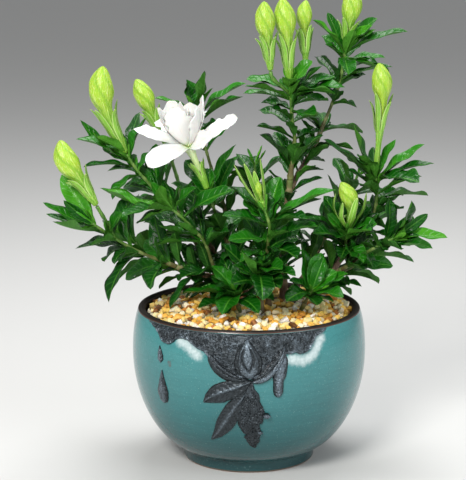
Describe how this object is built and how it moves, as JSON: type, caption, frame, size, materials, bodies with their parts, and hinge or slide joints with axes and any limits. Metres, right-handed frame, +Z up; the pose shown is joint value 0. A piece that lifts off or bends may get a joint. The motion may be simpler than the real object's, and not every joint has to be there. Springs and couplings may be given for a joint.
{
  "type": "potted gardenia",
  "caption": "Gardenia shrub in bud and flower, with glossy leaves, in a round glazed bowl with a lotus relief and a top of crushed stone.",
  "frame": {"origin": "centre of the bowl's foot ring, on the surface that it stands on", "axes": "+Z up, the relief on the bowl's front towards -Y, +X to the right seen from the front"},
  "size_m": [0.268, 0.1653, 0.3216],
  "materials": {
    "glaze": "glossy crackled celadon glaze, with a dark pewter relief and a dark brown lip",
    "soil": "dark crumbly potting soil",
    "stone": "crushed cream, amber and white stone",
    "bark": "thin brown bark",
    "foliage": "glossy dark green leaf",
    "bud": "smooth yellow-green bud",
    "calyx": "smooth light green calyx",
    "petal": "velvety white petal"
  },
  "bodies": {
    "root": {"pot": "glaze", "soil": "soil", "gravel": "stone", "stem_left": "bark", "stem_small_front": "bark", "stem_flower": "bark", "stem_behind": "bark", "stem_trunk": "bark", "stem_right": "bark", "stem_front_mid": "bark", "stem_front_low": "bark", "stem_low_centre": "bark", "stem_low_right": "bark", "stem_back_left": "bark", "stem_back_low_left": "bark", "stem_back_mid": "bark", "stem_back_right": "bark", "stem_back_low_right": "bark", "bud_far_left": "bud", "bud_left": "bud", "bud_by_flower": "bud", "bud_top_left": "bud", "bud_top_mid": "bud", "bud_top_right": "bud", "bud_high_right": "bud", "bud_right": "bud", "bud_small_right": "bud", "bud_front": "bud", "flower_petals": "petal", "flower_calyx": "calyx", "spray_left_low": "foliage", "spray_left_up": "foliage", "spray_small_front": "foliage", "spray_flower": "foliage", "spray_behind": "foliage", "spray_trunk": "foliage", "spray_up_right": "foliage", "spray_right": "foliage", "spray_right_low": "foliage", "spray_small_right": "foliage", "spray_front_mid": "foliage", "spray_front_low": "foliage", "spray_low_centre": "foliage", "spray_low_right": "foliage", "spray_back_left": "foliage", "spray_back_low_left": "foliage", "spray_back_mid": "foliage", "spray_back_right": "foliage", "spray_back_low_right": "foliage"}
  },
  "joints": []
}
